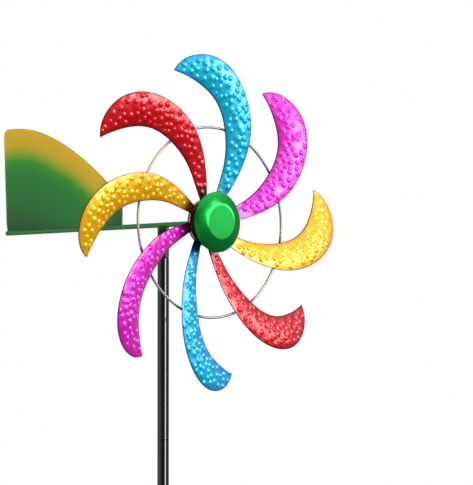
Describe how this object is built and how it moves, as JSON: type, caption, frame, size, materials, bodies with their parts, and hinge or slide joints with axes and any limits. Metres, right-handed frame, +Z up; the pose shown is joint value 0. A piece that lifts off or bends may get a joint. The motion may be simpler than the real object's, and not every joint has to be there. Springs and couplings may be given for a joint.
{
  "type": "garden wind spinner",
  "caption": "Garden wind spinner: a curved-blade wheel and a tail vane on a head that swivels on a slim pole with a step-in stake.",
  "frame": {"origin": "on the pole's axis at soil level, at the top of the solid stake and 2 mm below the step-in prong's crossbar", "axes": "+Z up along the pole; at rest the rotor's axis lies along Y with its front towards -Y and the tail vane towards +Y"},
  "size_m": [0.389, 0.4026, 0.9975],
  "materials": {
    "pole_black": "gloss black powder coat",
    "boom_green": "gloss green, fading to black on the socket",
    "vane_gold_to_green": "gloss, blended from gold at the top to dark green at the foot",
    "blade_blue": "candy metallic, black at the root",
    "blade_magenta": "candy metallic, black at the root",
    "blade_yellow": "candy metallic, black at the root",
    "blade_red": "candy metallic, black at the root",
    "ring_tinted": "metallic wire tinted by the colour of each blade",
    "hub_green": "high gloss",
    "hub_black": "gloss black",
    "zinc_steel": "zinc plated",
    "bush_plastic": "natural nylon"
  },
  "bodies": {
    "ground_stake": {"stake_point": "pole_black", "side_prong": "pole_black", "pole_lower_tube": "pole_black", "pole_middle_tube": "pole_black", "pole_upper_tube": "pole_black", "pole_joiner_lower": "zinc_steel", "pole_joiner_upper": "zinc_steel", "pole_top_plug": "zinc_steel", "swivel_pin": "zinc_steel", "swivel_washer": "zinc_steel"},
    "head": {"swivel_liner": "bush_plastic", "swivel_socket": "boom_green", "boom": "boom_green", "tail_vane": "vane_gold_to_green", "axle_collar": "zinc_steel", "axle_washer_rear": "zinc_steel", "axle_washer_front": "zinc_steel", "axle_lock_nut": "zinc_steel"},
    "rotor": {"hub_drum": "hub_black", "hub_cap": "hub_green", "hub_rear_cover": "hub_black", "hub_bush_front": "bush_plastic", "hub_bush_rear": "bush_plastic", "support_ring": "ring_tinted", "blade_1_blue": "blade_blue", "blade_2_magenta": "blade_magenta", "blade_3_yellow": "blade_yellow", "blade_4_red": "blade_red", "blade_5_blue": "blade_blue", "blade_6_magenta": "blade_magenta", "blade_7_yellow": "blade_yellow", "blade_8_red": "blade_red"}
  },
  "joints": [
    {"name": "head_yaw", "type": "hinge", "parent": "ground_stake", "child": "head", "pos_m": [0, 0, 0.66], "axis": [0, 0, 1], "continuous": true},
    {"name": "rotor_spin", "type": "hinge", "parent": "head", "child": "rotor", "pos_m": [0, -0.082, 0.675], "axis": [0, 1, 0], "continuous": true}
  ]
}
